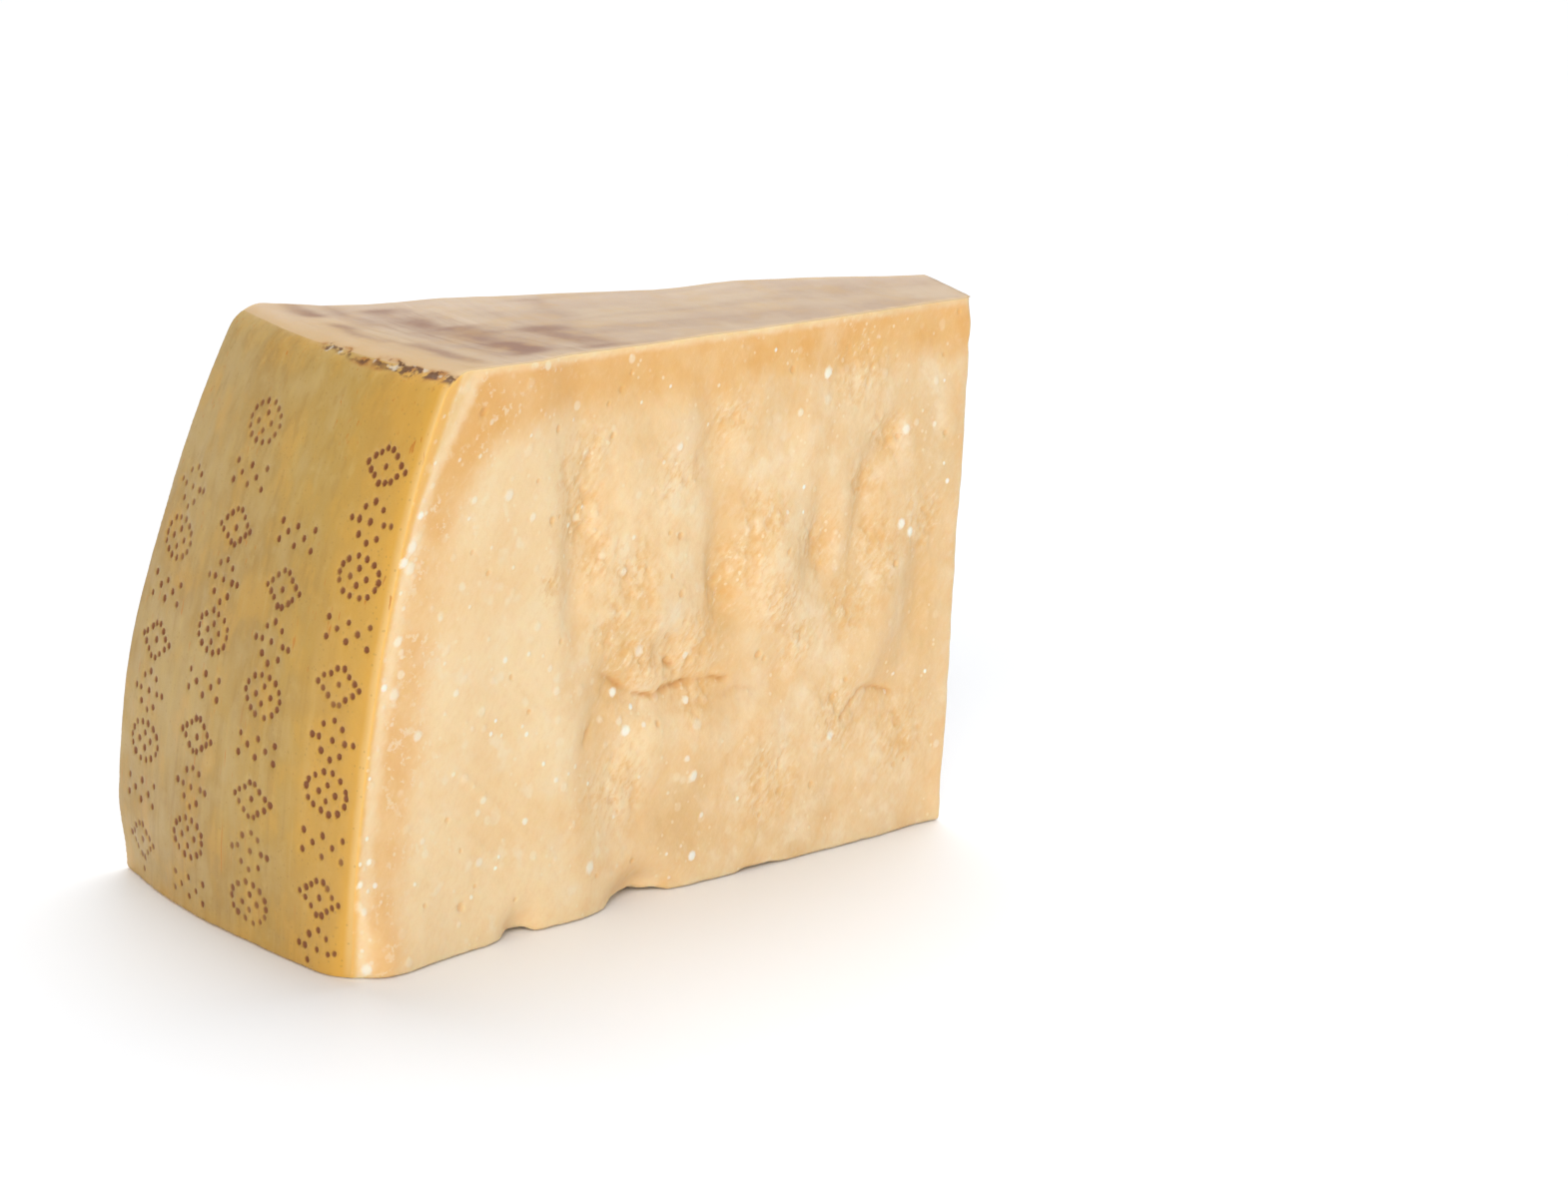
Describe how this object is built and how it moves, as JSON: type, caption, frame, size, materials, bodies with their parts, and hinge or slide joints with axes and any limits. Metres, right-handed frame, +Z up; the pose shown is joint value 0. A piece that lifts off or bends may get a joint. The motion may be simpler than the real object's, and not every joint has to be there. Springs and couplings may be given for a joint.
{
  "type": "parmesan chunk",
  "caption": "Wedge of hard aged cheese from the upper half of a wheel: dotted side rind, flat top rind, crumbly broken faces, cut tip; stands on its flat base.",
  "frame": {"origin": "middle of the flat base", "axes": "-X towards the side rind, +X towards the cut tip, -Y towards the shown broken face, +Z up along the wheel's axis"},
  "size_m": [0.18, 0.0868, 0.1185],
  "materials": {
    "cheese": "pale grainy paste with a golden dotted side rind and a stained grey-beige top rind; matte_plastic stands in for cheese"
  },
  "bodies": {
    "root": {"cheese_chunk": "cheese"}
  },
  "joints": []
}
